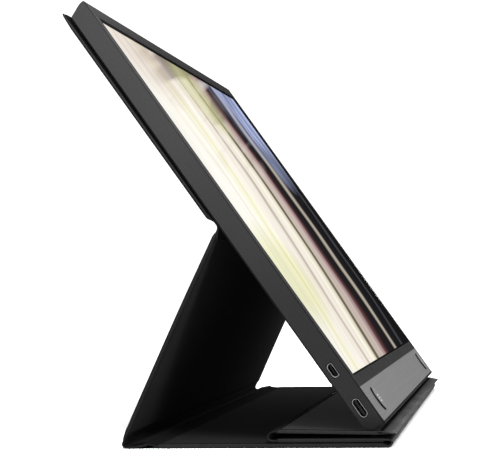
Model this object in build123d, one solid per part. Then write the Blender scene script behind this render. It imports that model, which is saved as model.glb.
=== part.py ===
from build123d import *
import math
import os

os.makedirs("parts", exist_ok=True)

# ---------------------------------------------------------------- dimensions, mm
TILT = 55.45            # display's lean from the table, degrees
FOOT_Z = 10.99          # height of the front face's line at v = 227
W = 360.0               # display width
H = 227.7               # display height, v runs down the front face from 0
THICK = 9.6             # display thickness, t runs back from the front face
RIM = 0.9               # depth of the glass behind the front rim
WIN_U = 7.9             # window's side margin
WIN_V0, WIN_V1 = 7.4, 203.1
CHIN_V0, CHIN_V1 = 208.6, 226.5
CHIN_T = 0.8
FRAME_BACK = 8.9        # frame walls end here, the rear cover goes on behind
FOOT_R = 7.0            # rounding of the lower back edge
CORNER_R = 1.6          # upper corners, seen from the front
TOP_V = -1.45            # the top edge bulges this far above the front face's end
BTN_U = (30.0, 334.0)   # button centres, from the left edge
BTN_V = 217.6
BTN_HOLE_R, BTN_CAP_R, BTN_FLANGE_R = 6.2, 5.7, 6.7
BTN_TRAVEL = 0.4
BTN_PROUD = 0.85        # the caps stand this far above the chin
HDMI_V, HDMI_W, HDMI_H, HDMI_D = 196.3, 6.5, 2.8, 7.2
USB_V, USB_W, USB_H, USB_D = 216.0, 8.94, 3.26, 7.35
PORT_U = 0.85           # the socket shells start this deep in the side
PCB_T = 6.95            # front of the main board
PCB_THICK = 0.8
HW = 180.3              # cover's half width
CT = 2.1                # cover panel thickness
LIN = 0.4               # lining
SKN = 0.5               # outer skin
A_IN = 9.9              # inner face of the back panel, t
A_V0, A_V1 = -2.3, 110.7
LEG_O0, LEG_O1 = (74.5, 90.2), (114.35, 7.3)   # outer face line of the leg panel
D_Y0, D_Y1 = 0.2, 99.8
C_Y0, C_Z0, C_LEN, C_TILT = 104.5, 1.14, 6.5, 10.0   # the spine rises a little towards the base
E_Y0, E_Y1, E_Z0, E_T = 0.4, 47.0, 2.3, 1.65
F_Y0, F_Y1, F_T = 0.5, 47.0, 1.75
F_Z0, F_Z1 = 5.5, 6.45  # underside of the rest flap at its two ends
F_LIP = -4.8            # front end of the rest flap's thin margin

th = math.radians(TILT)
UPV = (math.cos(th), math.sin(th))
NRM = (-math.sin(th), math.cos(th))


def pvt(v, t):
    """Section point (y, z) at v down the display's face and t behind it."""
    s = 227.0 - v
    return (s * UPV[0] - t * NRM[0], FOOT_Z + s * UPV[1] - t * NRM[1])


# ---------------------------------------------------------------- helpers
DISP = Plane(origin=(0, 0, FOOT_Z), x_dir=(1, 0, 0), z_dir=(0, NRM[0], NRM[1]))


def on_display(shape):
    """Place a shape made in display coordinates: x, s = 227 - v, -t."""
    return DISP.location * shape


def dbox(u0, u1, v0, v1, t0, t1):
    """A box in display coordinates, u from the left edge, v down, t back."""
    return Pos((u0 + u1) / 2 - W / 2, 227.0 - (v0 + v1) / 2, -(t0 + t1) / 2) * Box(
        u1 - u0, v1 - v0, t1 - t0
    )


def dcyl(u, v, r, t0, t1):
    return Pos(u - W / 2, 227.0 - v, -(t0 + t1) / 2) * Cylinder(r, t1 - t0)


def prism_yz(pts, x0, x1):
    """A closed outline in the side view, drawn out along x."""
    face = make_face(Polyline(*[(x0, p[0], p[1]) for p in pts], close=True))
    return extrude(face, amount=x1 - x0, dir=(1, 0, 0))


def dprism(pts_vt, u0, u1):
    """A closed (v, t) outline drawn out along the display's width."""
    face = make_face(
        Polyline(*[(u0 - W / 2, 227.0 - v, -t) for v, t in pts_vt], close=True)
    )
    return extrude(face, amount=u1 - u0, dir=(1, 0, 0))


def arc_vt(vc, tc, r, a0, a1, n):
    return [
        (
            vc + r * math.cos(math.radians(a0 + (a1 - a0) * i / n)),
            tc + r * math.sin(math.radians(a0 + (a1 - a0) * i / n)),
        )
        for i in range(n + 1)
    ]


def rounded_plate(x0, x1, y0, y1, z0, z1, radii):
    """A plate with its four corners rounded: radii at (x0,y0), (x1,y0), (x1,y1), (x0,y1)."""
    shape = Pos((x0 + x1) / 2, (y0 + y1) / 2, (z0 + z1) / 2) * Box(
        x1 - x0, y1 - y0, z1 - z0
    )
    corners = [(x0, y0), (x1, y0), (x1, y1), (x0, y1)]
    for (cx, cy), r in zip(corners, radii):
        if r > 0:
            edge = [
                e
                for e in shape.edges().filter_by(Axis.Z)
                if abs(e.center().X - cx) < 1e-3 and abs(e.center().Y - cy) < 1e-3
            ]
            shape = fillet(edge, r)
    return shape


def slot_outline(w, h):
    """A stadium w by h, long axis first."""
    a, r = (w - h) / 2, h / 2
    pts = [
        (a + r * math.cos(math.radians(q)), r * math.sin(math.radians(q)))
        for q in range(-90, 91, 15)
    ]
    return pts + [(-p[0], -p[1]) for p in pts]


def keyed_outline(w, h):
    """A rounded box w by h whose two corners on one long side are cut off at a slant."""
    c, r = 0.95, 0.5
    corners = [
        (w / 2, -h / 2 + c), (w / 2, h / 2), (-w / 2, h / 2), (-w / 2, -h / 2 + c),
        (-w / 2 + c, -h / 2), (w / 2 - c, -h / 2),
    ]
    pts = []
    for i, p in enumerate(corners):
        q0, q1 = corners[i - 1], corners[(i + 1) % len(corners)]
        m0, m1 = math.dist(p, q0), math.dist(p, q1)
        e0 = (p[0] + (q0[0] - p[0]) / m0 * r, p[1] + (q0[1] - p[1]) / m0 * r)
        e1 = (p[0] + (q1[0] - p[0]) / m1 * r, p[1] + (q1[1] - p[1]) / m1 * r)
        for j in range(5):
            k = j / 4
            pts.append(
                tuple((1 - k) ** 2 * e0[d] + 2 * k * (1 - k) * p[d] + k * k * e1[d] for d in (0, 1))
            )
    return pts


def mouth_prism(outline_, w, h, depth):
    """An outline w by h, drawn out along +x from x = 0."""
    face = make_face(Polyline(*[(0, p[0], p[1]) for p in outline_(w, h)], close=True))
    return extrude(face, amount=depth, dir=(1, 0, 0))


def mouth_bevel(outline_, w0, h0, w1, h1, depth):
    """An outline w0 by h0 at x = 0 that narrows to w1 by h1 at the depth."""
    ends = [
        make_face(Polyline(*[(x, p[0], p[1]) for p in outline_(w, h)], close=True))
        for x, w, h in ((0.0, w0, h0), (depth, w1, h1))
    ]
    return loft(ends, ruled=True)


def at_port(shape, v, t, u=0.0):
    return Pos(u - W / 2, 227.0 - v, -t) * shape


nodes = {}

# ---------------------------------------------------------------- display shell
foot_c = (H - FOOT_R, THICK - FOOT_R)
side_profile = (
    [(TOP_V, 1.1), (-0.95, 0.6), (-0.55, 0.22), (0.1, 0.0), (H - 0.35, 0.0), (H, 0.35)]
    + arc_vt(foot_c[0], foot_c[1], FOOT_R, 0, 90, 12)
    + [(3.0, THICK), (2.0, 9.2), (1.7, 8.7)]
)
outer = dprism(side_profile, 0, W)
outline = rounded_plate(
    -W / 2, W / 2, 227.0 - H, 227.0 - TOP_V, -THICK, 0.0, (1.6, 1.6, CORNER_R, CORNER_R)
)
# the side edges are broken at the front and at the back
cross = [(0.0, 0.42), (0.12, 0.14), (0.42, 0.0), (W - 0.42, 0.0), (W - 0.12, 0.14), (W, 0.42)]
cross += [(W, THICK - 0.6), (W - 0.5, THICK), (0.5, THICK), (0.0, THICK - 0.6)]
edges_cut = extrude(
    make_face(Polyline(*[(u - W / 2, -5.0, -t) for u, t in cross], close=True)),
    amount=240.0,
    dir=(0, 1, 0),
)
body = outer & outline & edges_cut

front_part = body & dbox(-1, W + 1, -1, H + 1, -1, FRAME_BACK)
cavity = dbox(1.8, W - 1.8, 3.0, 207.4, RIM, THICK + 1)
cavity += dbox(1.8, W - 1.8, 207.3, 219.8, 1.75, THICK + 1)
cavity += dbox(1.8, W - 1.8, 219.7, 225.4, 1.75, 5.9)
frame = front_part - cavity
frame -= dbox(WIN_U, W - WIN_U, WIN_V0, WIN_V1, -1, RIM + 0.5)
frame -= dbox(0.8, W - 0.8, CHIN_V0, CHIN_V1 + 0.5, -1, CHIN_T)
for u in BTN_U:
    frame -= dcyl(u, BTN_V, BTN_HOLE_R, -1, 3)
# bosses for the rear cover's screws, on the side and top walls
SCREWS = [(4.4, 14.0), (W - 4.4, 14.0), (4.4, 98.0), (W - 4.4, 98.0), (120.0, 4.6), (240.0, 4.6)]
for u, v in SCREWS:
    frame += dcyl(u, v, 2.0, 4.1, 8.15)
    if u < 10:
        frame += dbox(1.2, u, v - 1.2, v + 1.2, 4.1, 8.15)
    elif u > W - 10:
        frame += dbox(u, W - 1.2, v - 1.2, v + 1.2, 4.1, 8.15)
for u, v in SCREWS:
    frame -= dcyl(u, v, 0.85, 4.6, 9.0)
# port mouths through the left wall, with a shallow recess round each
for o_, v, w, h, t in (
    (keyed_outline, HDMI_V, HDMI_W, HDMI_H, PCB_T - HDMI_H / 2),
    (slot_outline, USB_V, USB_W, USB_H, PCB_T - USB_H / 2),
):
    frame -= at_port(mouth_prism(o_, w + 0.3, h + 0.3, 10.0), v, t, u=-1.0)
    frame -= at_port(mouth_bevel(o_, w + 0.9, h + 0.9, w + 0.3, h + 0.3, 0.35), v, t, u=0.0)
nodes["bezel_frame"] = on_display(frame)

rear = body & dbox(0.45, W - 0.45, 0.9, H + 1, FRAME_BACK, THICK + 1)
rear += dbox(2.0, W - 2.0, 3.2, 219.6, 8.2, FRAME_BACK + 0.01)
for u, v in SCREWS:
    rear -= dcyl(u, v, 1.15, 7.0, 12.0)
    rear -= dcyl(u, v, 2.1, 8.9, 12.0)
nodes["rear_cover"] = on_display(rear)

screws = []
for u, v in SCREWS:
    s = dcyl(u, v, 1.9, 8.95, 9.55) + dcyl(u, v, 0.8, 5.0, 8.95)
    s -= dcyl(u, v, 0.6, 9.15, 9.6)
    screws.append(on_display(s))
nodes["cover_screws"] = Compound(children=screws)

chin = rounded_plate(-W / 2 + 0.85, W / 2 - 0.85, 227.0 - CHIN_V1, 227.0 - CHIN_V0 - 0.05, -CHIN_T, 0.0, (0.9, 0.9, 0.3, 0.3))
for u in BTN_U:
    chin -= dcyl(u, BTN_V, BTN_HOLE_R, -1, 2)
nodes["chin_panel"] = on_display(chin)

# ---------------------------------------------------------------- screen stack
nodes["lcd_glass"] = on_display(dbox(5.0, 355.0, 4.4, 206.4, RIM + 0.02, 1.9))
nodes["diffuser_films"] = on_display(dbox(6.0, 354.0, 5.4, 204.6, 1.95, 2.35))
nodes["light_guide"] = on_display(dbox(6.0, 354.0, 5.4, 204.6, 2.4, 3.4))
nodes["led_bar"] = on_display(
    dbox(6.0, 354.0, 204.8, 205.6, 2.0, 3.4)
)
tray = dbox(4.9, 355.1, 4.3, 206.5, 1.95, 3.85) - dbox(5.5, 354.5, 4.9, 205.9, 1.0, 3.45)
nodes["backlight_tray"] = on_display(tray)

# ---------------------------------------------------------------- electronics
pcb = dbox(8.0, 96.0, 178.0, 219.0, PCB_T, PCB_T + PCB_THICK)
pcb += dbox(2.0, 8.1, 190.0, 219.0, PCB_T, PCB_T + PCB_THICK)
for (u0, u1, v0, v1) in ((60, 68, 205, 213), (72, 78, 188, 194), (84, 92, 200, 206)):
    pcb += dbox(u0, u1, v0, v1, PCB_T - 1.2, PCB_T + 0.01)
nodes["main_board"] = on_display(pcb)
nodes["board_shields"] = Compound(
    children=[
        on_display(dbox(24, 52, 184, 212, PCB_T - 1.9, PCB_T)),
        on_display(dbox(60, 70, 184, 200, PCB_T - 1.6, PCB_T)),
    ]
)
t_h, t_u = PCB_T - HDMI_H / 2, PCB_T - USB_H / 2
sock = at_port(mouth_prism(slot_outline, USB_W, USB_H, USB_D), USB_V, t_u, u=PORT_U)
sock -= at_port(mouth_prism(slot_outline, USB_W - 0.6, USB_H - 0.6, USB_D), USB_V, t_u, u=PORT_U - 0.8)
nodes["usb_c_socket"] = on_display(sock)
nodes["usb_c_tongue"] = on_display(
    dbox(PORT_U + 0.85, PORT_U + USB_D - 0.8, USB_V - 3.35, USB_V + 3.35, t_u - 0.35, t_u + 0.35)
)
hd = at_port(mouth_prism(keyed_outline, HDMI_W, HDMI_H, HDMI_D), HDMI_V, t_h, u=PORT_U)
hd -= at_port(mouth_prism(keyed_outline, HDMI_W - 0.6, HDMI_H - 0.6, HDMI_D), HDMI_V, t_h, u=PORT_U - 0.8)
nodes["hdmi_socket"] = on_display(hd)
nodes["hdmi_tongue"] = on_display(
    dbox(PORT_U + 1.05, PORT_U + HDMI_D - 0.8, HDMI_V - 1.9, HDMI_V + 1.9, t_h - 0.3, t_h + 0.3)
)
cells = []
for u0 in (100.0, 186.0):
    c = dbox(u0, u0 + 80.0, 40.0, 150.0, 4.4, 7.8)
    c = fillet(c.edges().filter_by(Axis.Y), 1.2)
    cells.append(on_display(c))
nodes["battery_cells"] = Compound(children=cells)
nodes["battery_lead"] = on_display(
    dbox(88.0, 94.0, 156.0, 177.0, 7.1, 7.5) + dbox(88.0, 140.0, 151.0, 156.1, 7.1, 7.5)
)
nodes["panel_ribbon"] = on_display(
    dbox(14.0, 22.0, 184.0, 209.6, 4.6, 4.8) + dbox(14.0, 22.0, 209.4, 209.6, 2.2, 4.8)
)
boards, domes = [], []
for u in BTN_U:
    boards.append(on_display(dbox(u - 7.0, u + 7.0, BTN_V - 6.5, BTN_V + 6.5, 3.35, 4.15)))
    domes.append(on_display(dcyl(u, BTN_V, 2.2, 2.75, 3.35)))
nodes["button_boards"] = Compound(children=boards)
nodes["button_domes"] = Compound(children=domes)
for name, u in (("menu_button", BTN_U[0]), ("power_button", BTN_U[1])):
    cap = dcyl(u, BTN_V, BTN_CAP_R, -BTN_PROUD, 1.9)
    cap = chamfer(cap.edges().filter_by(GeomType.CIRCLE).sort_by(Axis.Z)[-1], 0.15)
    cap += dcyl(u, BTN_V, BTN_FLANGE_R, 1.85, 2.2)
    nodes[name] = on_display(cap)
nodes["keeper_plates"] = Compound(
    children=[
        on_display(dbox(u, u + 40.0, v, v + 8.0, 7.85, 8.15))
        for u in (60.0, 260.0)
        for v in (18.0, 26.5)
    ]
)


# ---------------------------------------------------------------- cover panels
def panel(name, origin, n_in, length, thick, radii, skin=SKN, lin=LIN, board_in=3.5):
    """One stiff panel: a shallow skin tray outside, a board in it and a lining inside.

    origin is the outer face's start in the side view, n_in the direction of the lining."""
    pl = Plane(origin=(0, origin[0], origin[1]), x_dir=(1, 0, 0), z_dir=(0, n_in[0], n_in[1]))
    tray_ = rounded_plate(-HW, HW, 0, length, 0, thick - lin, radii)
    b = min(board_in, length * 0.18)
    pocket = Pos(0, length / 2, skin + 5) * Box(2 * HW - 2 * b, length - 2 * b, 10)
    tray_ -= pocket
    board = Pos(0, length / 2, (skin + thick - lin) / 2) * Box(
        2 * HW - 2 * b - 0.2, length - 2 * b - 0.2, thick - lin - skin
    )
    lining = rounded_plate(-HW, HW, 0, length, thick - lin, thick, radii)
    nodes[name + "_skin"] = pl.location * tray_
    nodes[name + "_board"] = pl.location * board
    nodes[name + "_lining"] = pl.location * lining
    return pl, b


n_up = NRM
back_pl, _ = panel("back_panel", pvt(A_V1, A_IN + CT), n_up, A_V1 - A_V0, CT, (0, 0, 1.2, 1.2), board_in=4.0)
mags = []
board_cut = None
for x in (-120.0, 80.0):
    for y in (76.0, 86.0):
        m = Pos(x + 20.0, y, CT - LIN - 0.55) * Box(40.0, 6.0, 1.0)
        c = Pos(x + 20.0, y, CT - LIN - 0.5) * Box(40.2, 6.2, 1.2)
        mags.append(back_pl.location * m)
        nodes["back_panel_board"] = nodes["back_panel_board"] - back_pl.location * c
nodes["fixing_magnets"] = Compound(children=mags)

lx, lz = LEG_O1[0] - LEG_O0[0], LEG_O1[1] - LEG_O0[1]
ll = math.hypot(lx, lz)
b_dir = (lx / ll, lz / ll)                    # down the leg
leg_in = (b_dir[1], -b_dir[0])                # towards the front
if leg_in[0] > 0:
    leg_in = (-leg_in[0], -leg_in[1])
i0 = (LEG_O0[0] + leg_in[0] * CT, LEG_O0[1] + leg_in[1] * CT)
# upper pivot: where the inner faces of the back panel and the leg meet
a0, a1 = pvt(0, A_IN), pvt(1, A_IN)
ad = (a1[0] - a0[0], a1[1] - a0[1])
det = ad[0] * (-b_dir[1]) - (-b_dir[0]) * ad[1]
rx, rz = i0[0] - a0[0], i0[1] - a0[1]
k = (rx * (-b_dir[1]) - (-b_dir[0]) * rz) / det
PIV_BA = (a0[0] + ad[0] * k, a0[1] + ad[1] * k)
PIV_CB = (i0[0] + (i0[1] - CT) / (-b_dir[1]) * b_dir[0], CT)
PIV_DC = (102.2, CT)
PIV_DE = (-1.6, 2.2)
PIV_EF = (49.6, 5.2)
LEG_LEN = math.hypot(PIV_CB[0] - PIV_BA[0], PIV_CB[1] - PIV_BA[1])


def leg_pt(s, off):
    """Point s down the leg from the upper pivot and off behind its inner face."""
    return (
        PIV_BA[0] + b_dir[0] * s - leg_in[0] * off,
        PIV_BA[1] + b_dir[1] * s - leg_in[1] * off,
    )


panel("leg_panel", leg_pt(LEG_LEN - 4.0, CT), leg_in, LEG_LEN - 7.0, CT, (0, 0, 0, 0), board_in=4.0)
ct_ = math.radians(C_TILT)
SP_IN = (math.sin(ct_), math.cos(ct_))
panel("spine_panel", (C_Y0, C_Z0), SP_IN, C_LEN, CT, (0, 0, 0, 0))


def spine_pt(s, off):
    """Point s along the spine from its base end, off above its underside."""
    return (
        C_Y0 + s * SP_IN[1] + off * SP_IN[0],
        C_Z0 - s * SP_IN[0] + off * SP_IN[1],
    )


panel("base_panel", (D_Y0, 0.0), (0, 1), D_Y1 - D_Y0, CT, (0, 0, 0, 0), board_in=4.0)
panel("under_flap", (E_Y1, E_Z0 + E_T), (0, -1), E_Y1 - E_Y0, E_T, (0, 0, 0, 0), skin=0.4, lin=0.35, board_in=4.0)
fa = math.atan2(F_Z1 - F_Z0, F_Y1 - F_Y0)
f_in = (-math.sin(fa), math.cos(fa))
f_len = math.hypot(F_Z1 - F_Z0, F_Y1 - F_Y0)
panel("rest_flap", (F_Y0, F_Z0), f_in, f_len, F_T, (0, 0, 0, 0), skin=0.4, lin=0.35, board_in=4.0)
# thin pressed margin in front of the rest flap
lip = prism_yz(
    [(F_Y0, 6.25), (F_Y0, 6.86), (-3.2, 6.5), (F_LIP, 6.3), (F_LIP, 5.7), (-3.2, 5.85)], -HW, HW
)
lip = fillet(
    [e for e in lip.edges() if abs(e.center().Y - F_LIP) < 0.05 and abs(abs(e.center().X) - HW) < 0.01], 3.0
)
nodes["rest_flap_skin"] = nodes["rest_flap_skin"] + lip


# ---------------------------------------------------------------- creases
def smooth(pts, n=4):
    """More points on a gentle curve through the given ones."""
    out = []
    for i in range(len(pts) - 1):
        p0, p1, p2 = pts[max(i - 1, 0)], pts[i], pts[i + 1]
        p3 = pts[min(i + 2, len(pts) - 1)]
        for j in range(n):
            u = j / n
            out.append(
                tuple(
                    0.5
                    * (
                        2 * p1[c]
                        + (p2[c] - p0[c]) * u
                        + (2 * p0[c] - 5 * p1[c] + 4 * p2[c] - p3[c]) * u * u
                        + (3 * p1[c] - p0[c] - 3 * p2[c] + p3[c]) * u**3
                    )
                    for c in (0, 1)
                )
            )
    return out + [pts[-1]]


def strip(pts, thick, half=HW):
    """A thin band of the given thickness along a section curve."""
    pts = smooth(pts)
    left, right = [], []
    for i, p in enumerate(pts):
        q0, q1 = pts[max(i - 1, 0)], pts[min(i + 1, len(pts) - 1)]
        dx, dz = q1[0] - q0[0], q1[1] - q0[1]
        m = math.hypot(dx, dz)
        nx, nz = -dz / m * thick / 2, dx / m * thick / 2
        left.append((p[0] + nx, p[1] + nz))
        right.append((p[0] - nx, p[1] - nz))
    return prism_yz(left + right[::-1], -half, half)


CR = 0.8
nodes["fold_back_leg"] = strip(
    [
        pvt(A_V1 + 0.12, 10.75),
        pvt(112.0, 10.42),
        pvt(113.6, 10.02),
        pvt(115.0, 9.92),
        pvt(116.1, 10.02),
        pvt(117.2, 10.7),
        pvt(118.05, 12.0),
        leg_pt(2.85, 1.35),
    ],
    0.5,
)
nodes["fold_leg_spine"] = strip(
    [
        leg_pt(LEG_LEN - 3.85, 1.3),
        leg_pt(LEG_LEN - 2.6, 1.4),
        (114.95, 3.4),
        (115.4, 2.0),
        (114.8, 0.8),
        (113.2, 0.52),
        spine_pt(C_LEN + 0.2, 0.55),
    ],
    CR,
)
nodes["fold_spine_base"] = strip([(D_Y1 + 0.15, 1.45), (101.0, 1.65), (102.8, 1.85), spine_pt(-0.2, 0.75)], 0.6)
nodes["fold_base_flap"] = strip(
    [(D_Y0 - 0.15, 0.55), (-1.2, 0.6), (-2.5, 1.15), (-2.95, 2.1), (-2.5, 3.05), (-1.2, 3.5), (E_Y0 - 0.2, 3.5)], CR
)
nodes["fold_flap_rest"] = strip(
    [(E_Y1 + 0.15, 2.85), (48.9, 2.95), (50.6, 3.6), (51.0, 4.9), (50.2, 6.0), (F_Y1 + 0.25, 7.55)], CR
)

# ---------------------------------------------------------------- place and write
lo_y = min(s.bounding_box().min.Y for s in nodes.values())
hi_y = max(s.bounding_box().max.Y for s in nodes.values())
SHIFT_Y = -(lo_y + hi_y) / 2
for name, shape in nodes.items():
    nodes[name] = Pos(0, SHIFT_Y, 0) * shape

if __name__ == "__main__":
    print("shift_y", SHIFT_Y)
    for label, p in (("BA", PIV_BA), ("CB", PIV_CB), ("DC", PIV_DC), ("DE", PIV_DE), ("EF", PIV_EF)):
        print("pivot", label, p[0] + SHIFT_Y, p[1])
    print("leg length", LEG_LEN, "nodes", len(nodes))
    for name, shape in nodes.items():
        export_step(shape, f"parts/{name}.step")
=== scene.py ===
import math

import bmesh
import bpy
from mathutils import Matrix, Vector, noise


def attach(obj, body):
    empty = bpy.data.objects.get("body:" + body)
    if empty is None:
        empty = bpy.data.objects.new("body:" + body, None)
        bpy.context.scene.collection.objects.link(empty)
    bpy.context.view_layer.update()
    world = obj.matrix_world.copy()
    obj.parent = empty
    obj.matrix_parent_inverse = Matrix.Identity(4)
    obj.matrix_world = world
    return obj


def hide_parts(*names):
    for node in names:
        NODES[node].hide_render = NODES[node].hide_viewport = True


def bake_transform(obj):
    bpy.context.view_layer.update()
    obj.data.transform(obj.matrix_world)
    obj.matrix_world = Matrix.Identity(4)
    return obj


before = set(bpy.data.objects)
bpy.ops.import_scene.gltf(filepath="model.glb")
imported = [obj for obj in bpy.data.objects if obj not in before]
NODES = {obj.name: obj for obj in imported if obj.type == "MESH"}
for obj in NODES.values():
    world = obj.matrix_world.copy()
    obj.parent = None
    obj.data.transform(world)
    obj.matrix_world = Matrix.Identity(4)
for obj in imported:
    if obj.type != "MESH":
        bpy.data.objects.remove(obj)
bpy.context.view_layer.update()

# ------------------------------------------------------------------ dimensions (mm, side-view frame; SHIFT moves y into the model's frame)
SHIFT = -67.56269452817212
TILT = 55.45
FOOT_Z = 10.99
W, H, THICK, RIM = 360.0, 227.7, 9.6, 0.9
WIN_U, WIN_V0, WIN_V1 = 7.9, 7.4, 203.1
HW, CT = 180.3, 2.1
LIN = 0.8
A_IN, A_V0, A_V1 = 9.9, -2.3, 110.7
LEG_O0, LEG_O1 = (74.5, 90.2), (114.35, 7.3)
D_Y0, D_Y1 = 0.2, 99.8
C_Y0, C_Z0, C_LEN, C_TILT = 104.5, 1.14, 6.5, 10.0
E_Y0, E_Y1, E_Z0, E_T = 0.4, 47.0, 2.3, 1.65
F_Y0, F_Y1, F_T = 0.5, 47.0, 1.75
F_Z0, F_Z1 = 5.5, 6.45
F_LIP = -4.8
BTN_U, BTN_V = (30.0, 334.0), 217.6
HDMI_V, HDMI_W, HDMI_H = 196.3, 6.5, 2.8
USB_V, USB_W, USB_H = 216.0, 8.94, 3.26
PCB_T = 6.95
PORT_U = 0.85
BTN_CAP_R, BTN_FLANGE_R, BTN_PROUD = 5.7, 6.7, 0.85

th = math.radians(TILT)
UPV = (math.cos(th), math.sin(th))
NRM = (-math.sin(th), math.cos(th))


def pvt(v, t):
    s = 227.0 - v
    return (s * UPV[0] - t * NRM[0], FOOT_Z + s * UPV[1] - t * NRM[1])


def P(x, y, z):
    """A side-view point in mm as a point of the model's frame in metres."""
    return Vector((x / 1000.0, (y + SHIFT) / 1000.0, z / 1000.0))


def D(u, v, t):
    """A point in display coordinates (from the left edge, down the face, behind it), mm."""
    y, z = pvt(v, t)
    return P(u - W / 2, y, z)


lx, lz = LEG_O1[0] - LEG_O0[0], LEG_O1[1] - LEG_O0[1]
ll = math.hypot(lx, lz)
b_dir = (lx / ll, lz / ll)
leg_in = (b_dir[1], -b_dir[0])
if leg_in[0] > 0:
    leg_in = (-leg_in[0], -leg_in[1])
i0 = (LEG_O0[0] + leg_in[0] * CT, LEG_O0[1] + leg_in[1] * CT)
a0, a1 = pvt(0, A_IN), pvt(1, A_IN)
ad = (a1[0] - a0[0], a1[1] - a0[1])
det = ad[0] * (-b_dir[1]) - (-b_dir[0]) * ad[1]
rx, rz = i0[0] - a0[0], i0[1] - a0[1]
k_ = (rx * (-b_dir[1]) - (-b_dir[0]) * rz) / det
PIV_BA = (a0[0] + ad[0] * k_, a0[1] + ad[1] * k_)
PIV_CB = (i0[0] + (i0[1] - CT) / (-b_dir[1]) * b_dir[0], CT)
LEG_LEN = math.hypot(PIV_CB[0] - PIV_BA[0], PIV_CB[1] - PIV_BA[1])


def leg_pt(s, off):
    return (
        PIV_BA[0] + b_dir[0] * s - leg_in[0] * off,
        PIV_BA[1] + b_dir[1] * s - leg_in[1] * off,
    )


ct_ = math.radians(C_TILT)
SP_IN = (math.sin(ct_), math.cos(ct_))


def spine_pt(s, off):
    return (C_Y0 + s * SP_IN[1] + off * SP_IN[0], C_Z0 - s * SP_IN[0] + off * SP_IN[1])


# ------------------------------------------------------------------ camera, lights, floor
scene = bpy.context.scene
CAM = (-885.1309334585776, -60.82922751214235, 74.41007349417829)
YAW, PITCH, ROLL, FOC = 1.4057846244794752, 0.03116079854727875, -0.02142490354195821, 1644.3457555967752
CY = 225.2838313390201

f = Vector((math.sin(YAW) * math.cos(PITCH), math.cos(YAW) * math.cos(PITCH), math.sin(PITCH)))
r = Vector((math.cos(YAW), -math.sin(YAW), 0.0))
u = r.cross(f)
r2 = math.cos(ROLL) * r + math.sin(ROLL) * u
u2 = -math.sin(ROLL) * r + math.cos(ROLL) * u
f2 = (f + u2 * ((CY - 225.0) / FOC)).normalized()
u3 = r2.cross(f2).normalized()
cam_data = bpy.data.cameras.new("camera")
cam = bpy.data.objects.new("camera", cam_data)
scene.collection.objects.link(cam)
m = Matrix((r2, u3, -f2)).transposed().to_4x4()
m.translation = P(*CAM)
cam.matrix_world = m
cam_data.sensor_fit = "HORIZONTAL"
cam_data.sensor_width = 36.0
cam_data.lens = FOC / 500.0 * 36.0
cam_data.clip_start = 0.02
cam_data.clip_end = 200.0
cam_data.dof.use_dof = False
scene.camera = cam

scene.view_settings.view_transform = "Standard"
scene.view_settings.look = "None"
scene.view_settings.exposure = 0.0
scene.view_settings.gamma = 1.0

world = bpy.data.worlds.new("studio")
scene.world = world
world.use_nodes = True
bg = world.node_tree.nodes.get("Background")
bg.inputs["Color"].default_value = (1.0, 1.0, 1.0, 1.0)
bg.inputs["Strength"].default_value = 1.3


def area(name, loc, target, size, power, colour=(1, 1, 1), spread=180.0):
    ld = bpy.data.lights.new(name, "AREA")
    ld.shape = "RECTANGLE"
    ld.size, ld.size_y = size
    ld.energy = power
    ld.spread = math.radians(spread)
    ld.color = colour
    ob = bpy.data.objects.new(name, ld)
    scene.collection.objects.link(ob)
    ob.location = loc
    d = Vector(target) - Vector(loc)
    ob.rotation_euler = d.to_track_quat("-Z", "Y").to_euler()
    return ob


area("key", (-0.6, -1.5, 1.5), (0, 0, 0.08), (1.2, 1.2), 22.0)
area("fill_top", (0.2, -0.05, 1.9), (0, 0, 0.05), (1.6, 1.6), 24.0)
area("far_soft", (0.27, 0.0, 0.06), (0.0, -0.01, 0.02), (0.08, 0.06), 0.26, spread=130.0)
area("side_soft", (-0.30, -0.10, 0.31), (-0.18, 0.05, 0.172), (0.10, 0.10), 2.2, spread=100.0)


# ------------------------------------------------------------------ material helpers
def new_mat(name):
    mat = bpy.data.materials.new(name)
    mat.use_nodes = True
    nt = mat.node_tree
    nt.nodes.clear()
    out = nt.nodes.new("ShaderNodeOutputMaterial")
    bsdf = nt.nodes.new("ShaderNodeBsdfPrincipled")
    nt.links.new(bsdf.outputs["BSDF"], out.inputs["Surface"])
    return mat, nt, bsdf


def node(nt, kind, **settings):
    n = nt.nodes.new(kind)
    for key, value in settings.items():
        setattr(n, key, value)
    return n


def coords(nt, scale=(1, 1, 1), rot=(0, 0, 0)):
    tc = node(nt, "ShaderNodeTexCoord")
    mp = node(nt, "ShaderNodeMapping")
    mp.inputs["Scale"].default_value = scale
    mp.inputs["Rotation"].default_value = rot
    nt.links.new(tc.outputs["Object"], mp.inputs["Vector"])
    return mp.outputs["Vector"]


def noise_tex(nt, vec, scale, detail=2.0, rough=0.5, distortion=0.0):
    n = node(nt, "ShaderNodeTexNoise")
    n.inputs["Scale"].default_value = scale
    n.inputs["Detail"].default_value = detail
    n.inputs["Roughness"].default_value = rough
    n.inputs["Distortion"].default_value = distortion
    nt.links.new(vec, n.inputs["Vector"])
    return n.outputs["Fac"]


def voronoi(nt, vec, scale, feature="F1", randomness=1.0):
    n = node(nt, "ShaderNodeTexVoronoi", feature=feature)
    n.inputs["Scale"].default_value = scale
    n.inputs["Randomness"].default_value = randomness
    nt.links.new(vec, n.inputs["Vector"])
    return n.outputs["Distance"]


def remap(nt, value, lo, hi, a=0.0, b=1.0):
    n = node(nt, "ShaderNodeMapRange")
    n.inputs["From Min"].default_value = a
    n.inputs["From Max"].default_value = b
    n.inputs["To Min"].default_value = lo
    n.inputs["To Max"].default_value = hi
    nt.links.new(value, n.inputs["Value"])
    return n.outputs["Result"]


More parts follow.
